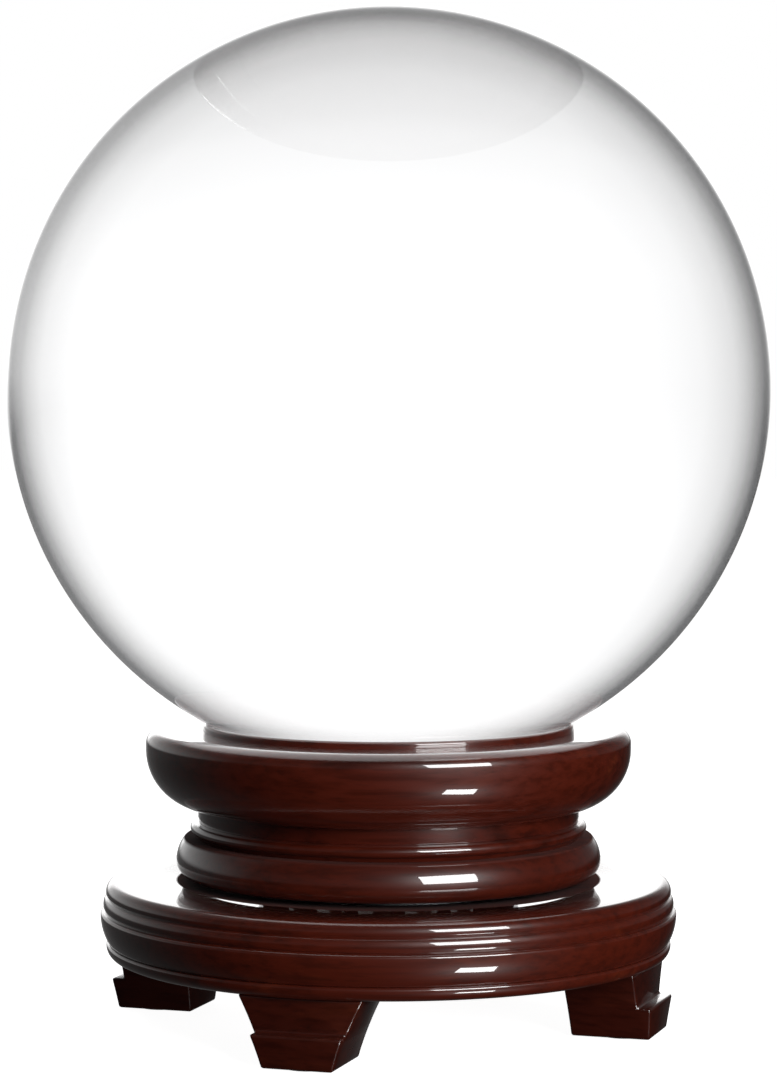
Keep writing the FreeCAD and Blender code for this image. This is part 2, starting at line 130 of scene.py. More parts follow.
class CradleDishSettings(bpy.types.PropertyGroup):
    """The dish, its seat ring and the neck ring below it."""

    edge_round: length("Edge round", "Radius of the dish's upper edge", 3.4 * MM)
    edge_height: length("Edge height", "Height where the edge round starts", 74.2 * MM)
    belly_height: length("Belly height", "Height of the dish's widest line", 72.4 * MM)
    foot_height: length("Foot height", "Height where the underside meets the neck", 57.4 * MM)
    neck_radius: length("Neck radius", "Radius of the neck", 50.3 * MM)
    neck_bottom: length("Neck bottom", "Height of the neck's shoulder", 53.6 * MM)
    cup_clearance: length("Cup clearance", "Room between the ball and the cup", 1.5 * MM)
    face_height: length("Face height", "Height of the dish's flat face", 77.6 * MM)
    ring_round: length("Ring round", "Radius of the seat ring's outer edge", 0.8 * MM)
    seat_gap: length("Seat gap", "Gap between the ball and the bevel it rests on", 0.08 * MM)
    bead_waist: length("Bead waist", "Radius where the neck ring's bead starts", 50.9 * MM)
    bead_radius: length("Bead radius", "Radius of the bead's rounding", 1.5 * MM)
    bead_step: length("Bead step", "Height of the step under the bead", 1.1 * MM)


class DrumAndBaseSettings(bpy.types.PropertyGroup):
    """The turntable drum and the base disc."""

    drum_top_radius: length("Drum top", "Radius of the drum's top edge", 53.9 * MM)
    drum_belly_height: length("Drum belly", "Height of the drum's widest line", 43.2 * MM)
    drum_foot_radius: length("Drum foot", "Radius of the drum's bottom edge", 53.6 * MM)
    recess_radius: length("Recess radius", "Radius of the bearing's recess", 46.5 * MM)
    recess_depth: length("Recess depth", "Depth of the recess in the base", 3.0 * MM)
    pocket_radius: length("Pocket radius", "Radius of the drum's pocket for the nut", 12.0 * MM)
    base_top_radius: length("Base face", "Radius of the base's flat face", 72.0 * MM)
    shoulder_radius: length("Shoulder", "Radius of the base's shoulder", 74.6 * MM)
    shoulder_height: length("Shoulder height", "Height where the shoulder starts", 34.6 * MM)
    band_radius: length("Band radius", "Radius of the base's narrow band", 75.3 * MM)
    band_top: length("Band top", "Upper edge of the band", 33.7 * MM)
    band_bottom: length("Band bottom", "Lower edge of the band", 30.5 * MM)
    crease: length("Crease", "Depth of the creases beside the band", 0.5 * MM)
    belly_height: length("Base belly", "Height of the base's widest line", 29.2 * MM)
    belly_top: length("Belly top", "Upper end of the belly", 30.1 * MM)
    belly_foot_radius: length("Belly foot", "Radius where the belly meets the lip", 74.1 * MM)
    lip_top: length("Lip top", "Height of the lip's ledge", 21.8 * MM)
    lip_radius: length("Lip radius", "Radius of the lip", 74.6 * MM)
    lip_edge_height: length("Lip edge", "Height where the lip's round ends", 21.0 * MM)
    lip_foot_radius: length("Lip foot", "Radius of the lip's bottom edge", 72.6 * MM)
    bolt_recess_radius: length("Bolt recess", "Radius of the bolt head's recess", 9.0 * MM)
    bolt_recess_depth: length("Bolt recess depth", "Depth of the bolt head's recess", 6.0 * MM)
    bolt_hole_radius: length("Bolt hole", "Radius of the pivot bolt's hole", 4.1 * MM)


class FootSettings(bpy.types.PropertyGroup):
    """The four stepped feet and their pads."""

    inner_bottom: length("Inner bottom", "Inner end of the foot at its bottom", 52.6 * MM)
    inner_top: length("Inner top", "Inner end of the foot at its top", 51.6 * MM)
    shank_radius: length("Shank", "Outer face of the foot above the toe", 70.9 * MM)
    toe_bottom: length("Toe bottom", "Outer end of the toe at its bottom", 73.5 * MM)
    toe_height: length("Toe height", "Height of the toe's ledge", 9.0 * MM)
    bottom_half_width: length("Bottom half width", "Half the foot's width at its bottom", 9.3 * MM)
    side_hollow: length("Side hollow", "How far the foot's sides are hollowed", 0.58 * MM)
    edge_round: length("Edge round", "Rounding of the foot's edges", 0.65 * MM)


class FinishSettings(bpy.types.PropertyGroup):
    """Colours and gloss of the wood and the hidden metal."""

    heart: colour("Heartwood", "Red-brown ground of the wood", (0.098, 0.0112, 0.0038))
    streak: colour("Streak", "Dark streaks in the wood", (0.023, 0.0036, 0.0018))
    glow: colour("Glow", "Warm lighter streaks in the wood", (0.165, 0.0250, 0.0075))
    lacquer_roughness: share("Lacquer roughness", "Roughness of the lacquer", 0.03)
    grain_angle: FloatProperty(name="Grain angle", description="Direction of the grain",
                               default=math.radians(18.0), subtype="ANGLE", unit="ROTATION")
    zinc: colour("Zinc", "Colour of the plated steel", (0.56, 0.57, 0.59))
    nylon: colour("Nylon", "Colour of the bearing's cage", (0.74, 0.72, 0.66))
    dowel: colour("Dowel", "Colour of the bare dowels", (0.55, 0.38, 0.21))
    rubber: colour("Rubber", "Colour of the pads", (0.022, 0.021, 0.021))


class StageSettings(bpy.types.PropertyGroup):
    """Camera, floor and light."""

    camera_azimuth: FloatProperty(name="Camera azimuth", description="Angle from the front foot",
                                  default=math.radians(18.0), subtype="ANGLE", unit="ROTATION")
    camera_distance: length("Camera distance", "Distance from the ball's axis", 0.9219)
    camera_height: length("Camera height", "Height above the table", 0.17626)
    camera_pitch: FloatProperty(name="Camera pitch", description="Downward tilt",
                                default=math.radians(3.03), subtype="ANGLE", unit="ROTATION")
    lens: FloatProperty(name="Lens", description="Focal length in millimetres", default=116.7)
    floor_size: length("Floor size", "Width of the floor", 8.0)
    backdrop: FloatProperty(name="Backdrop", description="Brightness seen through the glass",
                            default=1.25)
    panels: FloatProperty(name="Panels", description="Brightness of the panels the wood mirrors",
                          default=2.2)
    floor_glow: FloatProperty(name="Floor glow", description="How far the floor is lit from below",
                              default=0.96)


# ---------------------------------------------------------------- modelling helpers


def start_clean():
    """Leaves edit mode and deselects everything."""
    if bpy.context.object and bpy.context.object.mode != "OBJECT":
        bpy.ops.object.mode_set(mode="OBJECT")
    bpy.ops.object.select_all(action="DESELECT")


def only(piece):
    """Makes one object the active and only selected one."""
    start_clean()
    piece.select_set(True)
    bpy.context.view_layer.objects.active = piece


def swell(wide, narrow, rise):
    """Radius of a bend that is upright at its widest point and meets the narrow point."""
    return ((wide - narrow) ** 2 + rise ** 2) / (2 * (wide - narrow))


def bend_points(start, end, radius, step=math.radians(6.0)):
    """Points on an arc between two corners, turning left, or right if the radius is negative."""
    if radius < 0:
        return bend_points(end, start, -radius, step)[::-1]
    start, end = Vector(start), Vector(end)
    chord = end - start
    left = Vector((-chord.y, chord.x)).normalized()
    centre = (start + end) / 2 + left * math.sqrt(max(radius ** 2 - (chord.length / 2) ** 2, 0.0))
    first = math.atan2(start.y - centre.y, start.x - centre.x)
    last = math.atan2(end.y - centre.y, end.x - centre.x)
    if last < first:
        last += 2 * math.pi
    count = max(math.ceil((last - first) / step), 3)
    angles = [first + (last - first) * index / count for index in range(1, count)]
    return [(centre.x + radius * math.cos(angle), centre.y + radius * math.sin(angle))
            for angle in angles]


def trace(corners):
    """Points of an outline. A corner is (radius, height) or (radius, height, bend to the next)."""
    points = []
    for index, corner in enumerate(corners):
        points.append(corner[:2])
        if len(corner) == 3:
            following = corners[(index + 1) % len(corners)][:2]
            points.extend(bend_points(corner[:2], following, corner[2]))
    return points


def turn_piece(name, corners, edge_round=0.22 * MM, sides=288):
    """Turns an outline round Z into a closed piece with lightly rounded edges."""
    points = trace(corners)
    start_clean()
    first = Vector((points[0][0], 0.0, points[0][1]))
    bpy.ops.mesh.primitive_plane_add(size=MM, location=(0.0, 0.0, 0.0))
    piece = bpy.context.object
    piece.name = piece.data.name = name
    bpy.ops.object.mode_set(mode="EDIT")
    bpy.ops.mesh.select_all(action="SELECT")
    bpy.ops.mesh.merge(type="CENTER")
    bpy.ops.transform.translate(value=first)
    here = first
    closing = [] if points[0][0] == points[-1][0] == 0.0 else [points[0]]
    for radius, height in points[1:] + closing:
        there = Vector((radius, 0.0, height))
        bpy.ops.mesh.extrude_region_move(TRANSFORM_OT_translate={"value": there - here})
        here = there
    bpy.ops.mesh.select_all(action="SELECT")
    bpy.ops.mesh.remove_doubles(threshold=1e-7)
    bpy.ops.mesh.select_all(action="SELECT")
    bpy.ops.mesh.spin(steps=sides, angle=2 * math.pi, center=(0.0, 0.0, 0.0), axis=AXIS)
    bpy.ops.mesh.select_all(action="SELECT")
    bpy.ops.mesh.remove_doubles(threshold=1e-6)
    bpy.ops.mesh.select_all(action="SELECT")
    bpy.ops.mesh.normals_make_consistent(inside=False)
    bpy.ops.object.mode_set(mode="OBJECT")
    round_edges(piece, edge_round)
    return piece


def round_edges(piece, amount, segments=2, angle=math.radians(32.0)):
    """Rounds the sharp edges of a piece and shades it smooth."""
    only(piece)
    bevel = piece.modifiers.new("edge_round", "BEVEL")
    bevel.width = amount
    bevel.segments = segments
    bevel.limit_method = "ANGLE"
    bevel.angle_limit = angle
    bevel.use_clamp_overlap = True
    bevel.harden_normals = False
    bpy.ops.object.modifier_apply(modifier=bevel.name)
    bpy.ops.object.shade_smooth_by_angle(angle=math.radians(40.0))


def finish_piece(piece, node, material):
    """Gives a piece its finish, and lets it stand for its node on that node's body."""
    piece.data.materials.clear()
    piece.data.materials.append(material)
    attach(piece, frame["nodes"][node]["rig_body"])
    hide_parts(node)


def quarter_copies(piece, names):
    """Copies a piece that points to +X to each quarter turn about Z, each with its own mesh."""
    copies = []
    for number, name in enumerate(names):
        if number == 0:
            copy = piece
        else:
            only(piece)
            bpy.ops.object.duplicate(linked=False)
            copy = bpy.context.object
            copy.rotation_euler = (0.0, 0.0, QUARTER_TURN * number)
            bpy.ops.object.transform_apply(location=True, rotation=True, scale=True)
        copy.name = copy.data.name = name
        copies.append(copy)
    return copies


# ---------------------------------------------------------------- material helpers


def new_material(name):
    """An empty node material with its output."""
    material = bpy.data.materials.new(name)
    material.use_nodes = True
    tree = material.node_tree
    tree.nodes.clear()
    output = tree.nodes.new("ShaderNodeOutputMaterial")
    shader = tree.nodes.new("ShaderNodeBsdfPrincipled")
    tree.links.new(shader.outputs["BSDF"], output.inputs["Surface"])
    return material, tree, shader


def placed(tree, scale=(1.0, 1.0, 1.0), turn=(0.0, 0.0, 0.0), shift=(0.0, 0.0, 0.0)):
    """Object coordinates, turned and stretched."""
    coordinates = tree.nodes.new("ShaderNodeTexCoord")
    turned = tree.nodes.new("ShaderNodeMapping")
    turned.inputs["Rotation"].default_value = turn
    turned.inputs["Location"].default_value = shift
    stretched = tree.nodes.new("ShaderNodeMapping")
    stretched.inputs["Scale"].default_value = scale
    tree.links.new(coordinates.outputs["Object"], turned.inputs["Vector"])
    tree.links.new(turned.outputs["Vector"], stretched.inputs["Vector"])
    return stretched.outputs["Vector"]


def noise(tree, vector, scale, detail=4.0, roughness=0.55, distortion=0.0):
    """A noise pattern."""
    pattern = tree.nodes.new("ShaderNodeTexNoise")
    pattern.inputs["Scale"].default_value = scale
    pattern.inputs["Detail"].default_value = detail
    pattern.inputs["Roughness"].default_value = roughness
    pattern.inputs["Distortion"].default_value = distortion
    tree.links.new(vector, pattern.inputs["Vector"])
    return pattern.outputs["Fac"]


def ramp(tree, value, stops):
    """A colour ramp from (place, colour) stops."""
    node = tree.nodes.new("ShaderNodeValToRGB")
    band = node.color_ramp
    while len(band.elements) > 1:
        band.elements.remove(band.elements[-1])
    band.elements[0].position = stops[0][0]
    band.elements[0].color = (*stops[0][1], 1.0)
    for place, tone in stops[1:]:
        band.elements.new(place).color = (*tone, 1.0)
    tree.links.new(value, node.inputs["Fac"])
    return node.outputs["Color"]


def grey(value):
    """A grey as a colour."""
    return (value, value, value)


def blend(tree, factor, first, second, mode="MIX"):
    """Mixes two colour outputs; factor is an output or a number."""
    node = tree.nodes.new("ShaderNodeMix")
    node.data_type = "RGBA"
    node.blend_type = mode
    sockets = [socket for socket in node.inputs if socket.type == "RGBA"]
    if isinstance(factor, float):
        node.inputs["Factor"].default_value = factor
    else:
        tree.links.new(factor, node.inputs["Factor"])
    tree.links.new(first, sockets[0])
    tree.links.new(second, sockets[1])
    return next(socket for socket in node.outputs if socket.type == "RGBA")


def scaled(tree, value, low, high, start=0.0):
    """Maps an output that runs from start to 1 onto another range."""
    node = tree.nodes.new("ShaderNodeMapRange")
    node.inputs["From Min"].default_value = start
    node.inputs["To Min"].default_value = low
    node.inputs["To Max"].default_value = high
    tree.links.new(value, node.inputs["Value"])
    return node.outputs["Result"]


def bump(tree, shader, height, strength, distance):
    """Adds fine relief to a shader."""
    node = tree.nodes.new("ShaderNodeBump")
    node.inputs["Strength"].default_value = strength
    node.inputs["Distance"].default_value = distance
    tree.links.new(height, node.inputs["Height"])
    tree.links.new(node.outputs["Normal"], shader.inputs["Normal"])


def clear_glass(settings):
    """Polished optical glass, whose colour is darkened by painted shade where it is seen edge on.
    """
    material, tree, shader = new_material("clear_glass")
    edge = tree.nodes.new("ShaderNodeLayerWeight")
    edge.inputs["Blend"].default_value = 0.5
    clear, shaded_rim_colour = tuple(settings.tint), tuple(settings.painted_rim_shade)
    # Painted shade: the colour falls from clear to the shaded rim colour as the surface turns edge
    # on, darkening the ball's rim.
    rim_darkening = ramp(tree, edge.outputs["Facing"], [
        (0.44, clear),
        (0.585, tuple(part * 0.82 for part in clear)),
        (0.66, tuple(part * 0.56 for part in clear)),
        (0.73, tuple(part * 0.30 for part in clear)),
        (0.83, shaded_rim_colour),
        (0.97, tuple(part * 0.9 for part in shaded_rim_colour)),
    ])
    drift = noise(tree, placed(tree, (1.0, 1.0, 0.6)), 9.0, detail=2.0)
    striae = ramp(tree, drift, [(0.3, grey(0.985)), (0.7, grey(1.0))])
    tree.links.new(blend(tree, 1.0, rim_darkening, striae, "MULTIPLY"), shader.inputs["Base Color"])
    shader.inputs["Roughness"].default_value = 0.0
    shader.inputs["IOR"].default_value = settings.refraction
    shader.inputs["Transmission Weight"].default_value = 1.0
    return material


def lacquered_wood(settings, name="lacquered_wood", shift=(0.0, 0.0, 0.0), bare_radius=0.0,
                   painted_shade_factor=1.0):
    """Close-grained red-brown wood under clear, high-gloss lacquer, bare inside a radius, its
    colours darkened by a painted shade factor.
    """
    material, tree, shader = new_material(name)
    turn = (0.0, 0.0, -settings.grain_angle)
    figure = noise(tree, placed(tree, (4.0, 42.0, 60.0), turn, shift), 1.6, 5.0, 0.6, 0.25)
    fine = noise(tree, placed(tree, (14.0, 420.0, 560.0), turn, shift), 1.0, 3.0)
    pores = noise(tree, placed(tree, (60.0, 900.0, 1200.0), turn, shift), 1.0, 2.0)
    cloud = noise(tree, placed(tree, (5.0, 9.0, 9.0), turn, shift), 1.5, 2.0)
    # Painted shade: the wood's colours are scaled by painted_shade_factor, darkening the lower
    # pieces.
    heart, streak, glow = (tuple(part * painted_shade_factor for part in tone)
                           for tone in (settings.heart, settings.streak, settings.glow))
    ground = ramp(tree, figure, [(0.24, streak), (0.42, heart), (0.60, heart), (0.76, glow)])
    lines = ramp(tree, fine, [(0.34, grey(0.62)), (0.52, grey(1.0)), (0.72, grey(1.15))])
    specks = ramp(tree, pores, [(0.30, grey(0.62)), (0.40, grey(1.0))])
    patches = ramp(tree, cloud, [(0.35, grey(0.84)), (0.65, grey(1.10))])
    toned = blend(tree, 0.8, ground, lines, "MULTIPLY")
    toned = blend(tree, 0.6, toned, specks, "MULTIPLY")
    toned = blend(tree, 1.0, toned, patches, "MULTIPLY")
    tree.links.new(toned, shader.inputs["Base Color"])
    tree.links.new(scaled(tree, fine, 0.26, 0.46), shader.inputs["Roughness"])
    shader.inputs["IOR"].default_value = 1.5
    shader.inputs["Coat Weight"].default_value = 1.0
    shader.inputs["Coat Roughness"].default_value = settings.lacquer_roughness
    shader.inputs["Coat IOR"].default_value = 1.8
    if bare_radius:
        coated = outside_radius(tree, bare_radius)
        tree.links.new(coated, shader.inputs["Coat Weight"])
        tree.links.new(scaled(tree, coated, 0.95, 0.36), shader.inputs["Roughness"])
    bump(tree, shader, fine, 0.05, 0.05 * MM)
    return material


def outside_radius(tree, radius):
    """1 outside a radius about Z and 0 inside it."""
    place = tree.nodes.new("ShaderNodeTexCoord")
    flat = tree.nodes.new("ShaderNodeVectorMath")
    flat.operation = "MULTIPLY"
    flat.inputs[1].default_value = (1.0, 1.0, 0.0)
    reach = tree.nodes.new("ShaderNodeVectorMath")
    reach.operation = "LENGTH"
    step = tree.nodes.new("ShaderNodeMapRange")
    step.inputs["From Min"].default_value = radius
    step.inputs["From Max"].default_value = radius + 0.5 * MM
    tree.links.new(place.outputs["Object"], flat.inputs[0])
    tree.links.new(flat.outputs["Vector"], reach.inputs[0])
    tree.links.new(reach.outputs["Value"], step.inputs["Value"])
    return step.outputs["Result"]


def plated_steel(settings, name="plated_steel", roughness=0.42, tone=None):
    """Plated or polished steel with fine brushing and dull patches."""
    material, tree, shader = new_material(name)
    tone = tuple(tone or settings.zinc)
    brushing = noise(tree, placed(tree, (900.0, 900.0, 120.0)), 1.0, detail=3.0)
    dull = noise(tree, placed(tree, (60.0, 60.0, 60.0)), 1.0, detail=4.0)
    tree.links.new(ramp(tree, dull, [(0.3, tuple(part * 0.82 for part in tone)), (0.7, tone)]),
                   shader.inputs["Base Color"])
    tree.links.new(scaled(tree, brushing, roughness * 0.75, roughness * 1.3),
                   shader.inputs["Roughness"])
    shader.inputs["Metallic"].default_value = 1.0
    bump(tree, shader, brushing, 0.12, 0.02 * MM)
    return material


def plain_grained(name, tone, roughness, grain, strength):
    """A matt material with a fine grain, for nylon, rubber and bare wood."""
    material, tree, shader = new_material(name)
    speckle = noise(tree, placed(tree, grain), 1.0, detail=4.0)
    cloud = noise(tree, placed(tree, (70.0, 70.0, 70.0)), 1.0, detail=2.0)
    tone = tuple(tone)
    ground = ramp(tree, cloud, [(0.3, tuple(part * 0.86 for part in tone)), (0.7, tone)])
    flecks = ramp(tree, speckle, [(0.35, grey(0.8)), (0.65, grey(1.08))])
    tree.links.new(blend(tree, 1.0, ground, flecks, "MULTIPLY"), shader.inputs["Base Color"])
    tree.links.new(scaled(tree, speckle, roughness * 0.85, min(roughness * 1.15, 1.0)),
                   shader.inputs["Roughness"])
    bump(tree, shader, speckle, strength, 0.05 * MM)
    return material


# ---------------------------------------------------------------- operators


class CRYSTAL_OT_ball(bpy.types.Operator):
    """Model the glass ball"""

    bl_idname = "crystal.ball"
    bl_label = "Crystal Ball"

    def execute(self, context):
        settings = context.scene.crystal_ball
        start_clean()
        low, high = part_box("crystal_ball")
        bpy.ops.mesh.primitive_cube_add(size=settings.radius, location=(0.0, 0.0, 0.0))
        ball = context.object
        ball.name = ball.data.name = "glass_ball"
        bpy.ops.object.mode_set(mode="EDIT")
        bpy.ops.mesh.select_all(action="SELECT")
        bpy.ops.mesh.subdivide(number_cuts=settings.faces_across - 1)
        bpy.ops.object.mode_set(mode="OBJECT")
        for vertex in ball.data.vertices:
            face_place = vertex.co / (settings.radius / 2)
            vertex.co = Vector([math.tan(part * math.pi / 4) for part in face_place]) * 0.5
        cast = ball.modifiers.new("round", "CAST")
        cast.cast_type = "SPHERE"
        cast.factor = 1.0
        cast.use_radius_as_size = False
        cast.size = settings.radius
        bpy.ops.object.modifier_apply(modifier=cast.name)
        ball.location.z = (low.z + high.z) / 2
        bpy.ops.object.transform_apply(location=True, rotation=True, scale=True)
        bpy.ops.object.shade_smooth()
        finish_piece(ball, "crystal_ball", clear_glass(settings))
        return {"FINISHED"}


class CRYSTAL_OT_cradle(bpy.types.Operator):
    """Turn the cradle dish, its seat ring and the neck ring"""

    bl_idname = "crystal.cradle"
    bl_label = "Cradle Dish and Rings"

    def execute(self, context):
        sizes = context.scene.crystal_dish
        ball = context.scene.crystal_ball
        wood = wood_for(context, "dish")
        centre = bottom_of("crystal_ball") + ball.radius
        cup_bend = ball.radius + sizes.cup_clearance
        rebate = bottom_of("seat_ring")
        cup_rim = math.sqrt(cup_bend ** 2 - (centre - rebate) ** 2)
        ring_radius, ring_top = radius_of("seat_ring"), top_of("seat_ring")
        dish_radius = radius_of("cradle_dish")
        spigot_bottom = bottom_of("cradle_dish")
        spigot_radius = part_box("neck_ring")[1].x - 6.4 * MM
        dish = turn_piece("cradle_dish_turned", [
            (0.0, spigot_bottom),
            (spigot_radius, spigot_bottom),
            (spigot_radius, sizes.neck_bottom),
            (sizes.neck_radius, sizes.neck_bottom),
            (sizes.neck_radius, sizes.foot_height,
             swell(dish_radius, sizes.neck_radius, sizes.belly_height - sizes.foot_height)),
            (dish_radius, sizes.belly_height),
            (dish_radius, sizes.edge_height, sizes.edge_round),
            (dish_radius - sizes.edge_round, sizes.face_height),
            (ring_radius, sizes.face_height),
            (ring_radius, rebate),
            (cup_rim, rebate, -cup_bend),
            (0.0, centre - cup_bend),
        ])
        finish_piece(dish, "cradle_dish", wood)

        seat_bend = ball.radius + sizes.seat_gap
        bevel_bottom = sizes.face_height + 0.3 * MM
        seat_top = math.sqrt(seat_bend ** 2 - (centre - ring_top) ** 2)
        seat_bottom = math.sqrt(seat_bend ** 2 - (centre - bevel_bottom) ** 2)
        ring = turn_piece("seat_ring_turned", [
            (cup_rim + MM, rebate),
            (ring_radius, rebate),
            (ring_radius, ring_top - sizes.ring_round, sizes.ring_round),
            (ring_radius - sizes.ring_round, ring_top),
            (seat_top, ring_top, -seat_bend),
            (seat_bottom, bevel_bottom),
        ], edge_round=0.1 * MM)
        finish_piece(ring, "seat_ring", wood)

        neck_low, neck_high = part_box("neck_ring")
        bead_foot = neck_low.z + sizes.bead_step
        bead_top = bead_foot + 2 * sizes.bead_radius
        neck = turn_piece("neck_ring_turned", [
            (spigot_radius + 0.05 * MM, neck_low.z),
            (sizes.bead_waist - 0.5 * MM, neck_low.z),
            (sizes.bead_waist, bead_foot, sizes.bead_radius * 1.001),
            (sizes.bead_waist, bead_top),
            (sizes.neck_radius, neck_high.z),
            (spigot_radius + 0.05 * MM, neck_high.z),
        ], edge_round=0.12 * MM)
        finish_piece(neck, "neck_ring", wood)
        return {"FINISHED"}


class CRYSTAL_OT_drum_and_base(bpy.types.Operator):
    """Turn the turntable drum and the base disc"""

    bl_idname = "crystal.drum_and_base"
    bl_label = "Drum and Base"

    def execute(self, context):
        sizes = context.scene.crystal_base
        drum_low, drum_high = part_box("turntable_drum")
        recess_top = top_of("bearing_top_plate")
        drum = turn_piece("turntable_drum_turned", [
            (sizes.recess_radius, drum_low.z),
            (sizes.drum_foot_radius, drum_low.z,
             swell(drum_high.x, sizes.drum_foot_radius, sizes.drum_belly_height - drum_low.z)),
            (drum_high.x, sizes.drum_belly_height,
             swell(drum_high.x, sizes.drum_top_radius, drum_high.z - sizes.drum_belly_height)),
            (sizes.drum_top_radius, drum_high.z),
            (sizes.pocket_radius, drum_high.z),
            (sizes.pocket_radius, recess_top),
            (sizes.recess_radius, recess_top),
        ])
        finish_piece(drum, "turntable_drum", wood_for(context, "drum"))

        low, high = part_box("base_disc")
        recess_floor = high.z - sizes.recess_depth
        quirk = sizes.lip_top + sizes.crease / 2
        lip_round = sizes.lip_top - sizes.lip_edge_height
        bolt_recess_top = low.z + sizes.bolt_recess_depth
        base = turn_piece("base_disc_turned", [
            (sizes.bolt_recess_radius, low.z),
            (sizes.lip_foot_radius, low.z,
             swell(sizes.lip_radius, sizes.lip_foot_radius, sizes.lip_edge_height - low.z)),
            (sizes.lip_radius, sizes.lip_edge_height, lip_round),
            (sizes.lip_radius - lip_round, sizes.lip_top),
            (sizes.belly_foot_radius - sizes.crease, sizes.lip_top),
            (sizes.belly_foot_radius, quirk,
             swell(high.x, sizes.belly_foot_radius, sizes.belly_height - quirk)),
            (high.x, sizes.belly_height,
             swell(high.x, sizes.band_radius, sizes.belly_top - sizes.belly_height)),
            (sizes.band_radius, sizes.belly_top),
            (sizes.band_radius - sizes.crease, (sizes.belly_top + sizes.band_bottom) / 2),
            (sizes.band_radius - sizes.crease / 2, sizes.band_bottom,
             sizes.band_top - sizes.band_bottom),
            (sizes.band_radius - sizes.crease, sizes.band_top),
            (sizes.shoulder_radius - sizes.crease, sizes.band_top + sizes.crease / 2),
            (sizes.shoulder_radius, sizes.shoulder_height,
             swell(high.z, sizes.shoulder_height, sizes.shoulder_radius - sizes.base_top_radius)),
            (sizes.base_top_radius, high.z),
            (sizes.recess_radius, high.z),
            (sizes.recess_radius, recess_floor),
            (sizes.bolt_hole_radius, recess_floor),
            (sizes.bolt_hole_radius, bolt_recess_top),
            (sizes.bolt_recess_radius, bolt_recess_top),
        ], edge_round=0.15 * MM)
        finish_piece(base, "base_disc", wood_for(context, "base"))
        return {"FINISHED"}


